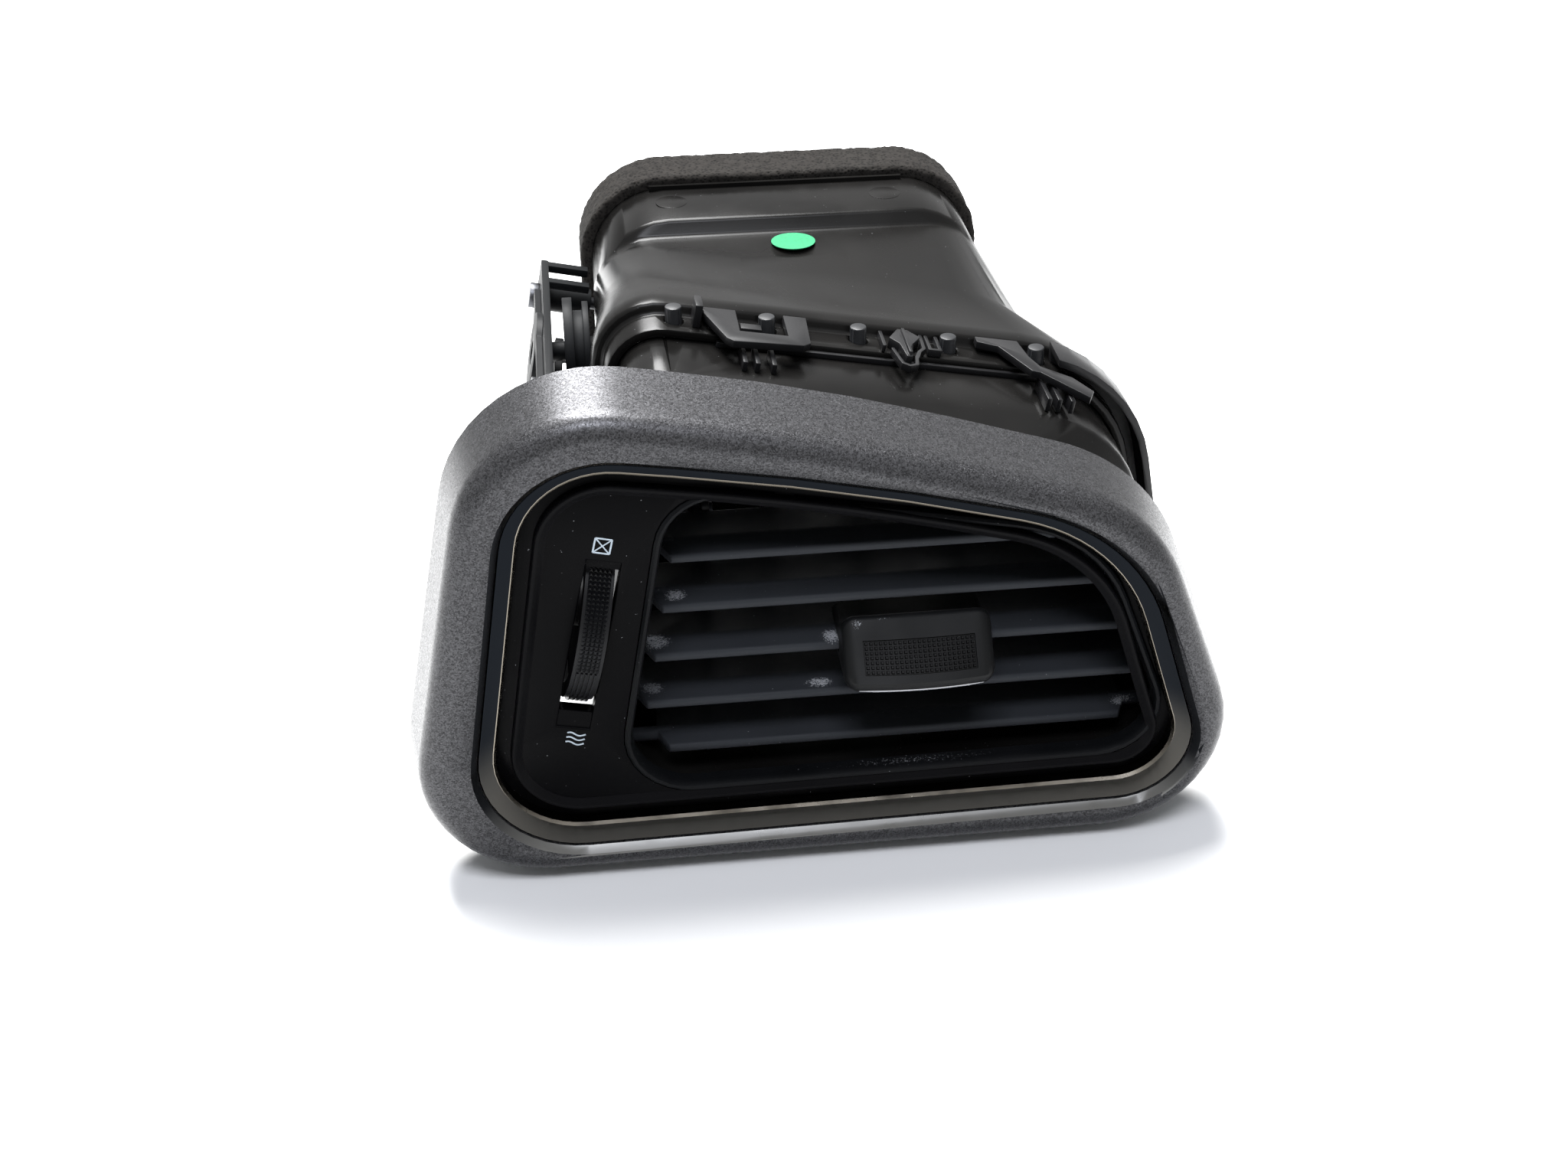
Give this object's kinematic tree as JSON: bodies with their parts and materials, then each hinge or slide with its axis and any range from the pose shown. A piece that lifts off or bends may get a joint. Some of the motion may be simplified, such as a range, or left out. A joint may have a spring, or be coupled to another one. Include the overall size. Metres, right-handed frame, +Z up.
{
  "type": "dashboard air vent",
  "caption": "Dashboard air vent: painted surround with a metallic ring, tilting slats with a sliding grip, swinging vanes, thumbwheel damper and rear duct with foam seal.",
  "frame": {"origin": "centre of the seat, where the surround's rear rim meets the dashboard, on the axis of the air outlet", "axes": "+Z up, +Y into the dashboard along the duct, +X to the right as the driver sees the vent"},
  "size_m": [0.1699, 0.15, 0.111],
  "materials": {
    "painted_grey": "satin metallic grey paint on a plastic moulding",
    "dark_chrome": "dark bright-metal plating on plastic",
    "black_gloss": "smooth black with a soft sheen",
    "black_grain": "fine-grained matte black",
    "black_duct": "semi-gloss black, as moulded",
    "bright_line": "bright plated strip",
    "dark_foam": "open-cell foam",
    "zinc_steel": "zinc-plated"
  },
  "bodies": {
    "housing": {"bezel": "painted_grey", "trim_ring": "dark_chrome", "fascia": "black_gloss", "outlet_frame": "black_grain", "front_housing": "black_duct", "rear_duct": "black_duct", "foam_seal": "dark_foam", "rim_clips": "black_duct", "housing_ribs": "black_duct", "rim_fin": "black_duct", "side_plate": "black_duct", "screw_front": "zinc_steel", "screw_rear": "zinc_steel"},
    "slat_1": {"slat_1": "black_grain"},
    "slat_2": {"slat_2": "black_grain"},
    "slat_3": {"slat_3": "black_grain"},
    "slat_4": {"slat_4": "black_grain"},
    "slat_5": {"slat_5": "black_grain"},
    "slat_link": {"slat_link": "black_duct"},
    "grip": {"grip": "black_grain", "grip_pad": "black_grain", "grip_trim": "bright_line", "grip_slider": "black_duct"},
    "vane_1": {"vane_1": "black_duct"},
    "vane_2": {"vane_2": "black_duct"},
    "vane_3": {"vane_3": "black_duct"},
    "vane_4": {"vane_4": "black_duct"},
    "vane_5": {"vane_5": "black_duct"},
    "vane_link": {"vane_link": "black_duct"},
    "thumbwheel": {"thumbwheel": "black_grain"},
    "link_rod": {"link_rod": "black_duct"},
    "damper": {"damper_drum": "black_duct", "damper_flap": "black_duct", "damper_foam": "dark_foam"}
  },
  "joints": [
    {"name": "slat_tilt", "type": "hinge", "parent": "housing", "child": "slat_3", "pos_m": [0, 0.003, -0.0067], "axis": [1, 0, 0], "range_deg": [-22, 22]},
    {"name": "slat_1_tilt", "type": "hinge", "parent": "housing", "child": "slat_1", "pos_m": [0, 0.003, 0.0168], "axis": [1, 0, 0], "range_deg": [-22, 22]},
    {"name": "slat_2_tilt", "type": "hinge", "parent": "housing", "child": "slat_2", "pos_m": [0, 0.003, 0.00505], "axis": [1, 0, 0], "range_deg": [-22, 22]},
    {"name": "slat_4_tilt", "type": "hinge", "parent": "housing", "child": "slat_4", "pos_m": [0, 0.003, -0.01845], "axis": [1, 0, 0], "range_deg": [-22, 22]},
    {"name": "slat_5_tilt", "type": "hinge", "parent": "housing", "child": "slat_5", "pos_m": [0, 0.003, -0.0302], "axis": [1, 0, 0], "range_deg": [-22, 22]},
    {"name": "slat_link_turn", "type": "hinge", "parent": "slat_3", "child": "slat_link", "pos_m": [-0.0372, 0.016, -0.0067], "axis": [1, 0, 0], "range_deg": [-22, 22]},
    {"name": "grip_slide", "type": "slide", "parent": "slat_3", "child": "grip", "axis": [1, 0, 0], "range_m": [-0.008, 0.008]},
    {"name": "vane_1_swing", "type": "hinge", "parent": "housing", "child": "vane_1", "pos_m": [-0.0406, 0.043, 0], "axis": [0, 0, 1], "range_deg": [-27, 27]},
    {"name": "vane_2_swing", "type": "hinge", "parent": "housing", "child": "vane_2", "pos_m": [-0.0213, 0.043, 0], "axis": [0, 0, 1], "range_deg": [-27, 27]},
    {"name": "vane_3_swing", "type": "hinge", "parent": "housing", "child": "vane_3", "pos_m": [-0.002, 0.043, 0], "axis": [0, 0, 1], "range_deg": [-27, 27]},
    {"name": "vane_4_swing", "type": "hinge", "parent": "housing", "child": "vane_4", "pos_m": [0.0173, 0.043, 0], "axis": [0, 0, 1], "range_deg": [-27, 27]},
    {"name": "vane_5_swing", "type": "hinge", "parent": "housing", "child": "vane_5", "pos_m": [0.0366, 0.043, 0], "axis": [0, 0, 1], "range_deg": [-27, 27]},
    {"name": "vane_link_turn", "type": "hinge", "parent": "vane_3", "child": "vane_link", "pos_m": [-0.002, 0.029, -0.028], "axis": [0, 0, 1], "range_deg": [-27, 27]},
    {"name": "wheel_turn", "type": "hinge", "parent": "housing", "child": "thumbwheel", "pos_m": [-0.0624, 0.0037, 0.004], "axis": [-0.9781, 0, 0.2079], "range_deg": [0, 90]},
    {"name": "rod_turn", "type": "hinge", "parent": "thumbwheel", "child": "link_rod", "pos_m": [-0.06859, 0.01128, 0.00036], "axis": [-0.9781, 0, 0.2079], "range_deg": [-90, 0]},
    {"name": "damper_turn", "type": "hinge", "parent": "housing", "child": "damper", "pos_m": [-0.06, 0.081, 0.021], "axis": [-1, 0, 0], "range_deg": [0, 90]}
  ],
  "couplings": [
    {"joint": "slat_1_tilt", "follows": "slat_tilt", "ratio": 1},
    {"joint": "slat_2_tilt", "follows": "slat_tilt", "ratio": 1},
    {"joint": "slat_4_tilt", "follows": "slat_tilt", "ratio": 1},
    {"joint": "slat_5_tilt", "follows": "slat_tilt", "ratio": 1},
    {"joint": "slat_link_turn", "follows": "slat_tilt", "ratio": -1},
    {"joint": "vane_1_swing", "follows": "grip_slide", "rad_per_m": 56.818},
    {"joint": "vane_2_swing", "follows": "grip_slide", "rad_per_m": 56.818},
    {"joint": "vane_3_swing", "follows": "grip_slide", "rad_per_m": 56.818},
    {"joint": "vane_4_swing", "follows": "grip_slide", "rad_per_m": 56.818},
    {"joint": "vane_5_swing", "follows": "grip_slide", "rad_per_m": 56.818},
    {"joint": "vane_link_turn", "follows": "grip_slide", "rad_per_m": -56.818},
    {"joint": "rod_turn", "follows": "wheel_turn", "ratio": -1},
    {"joint": "damper_turn", "follows": "wheel_turn", "ratio": 1}
  ]
}
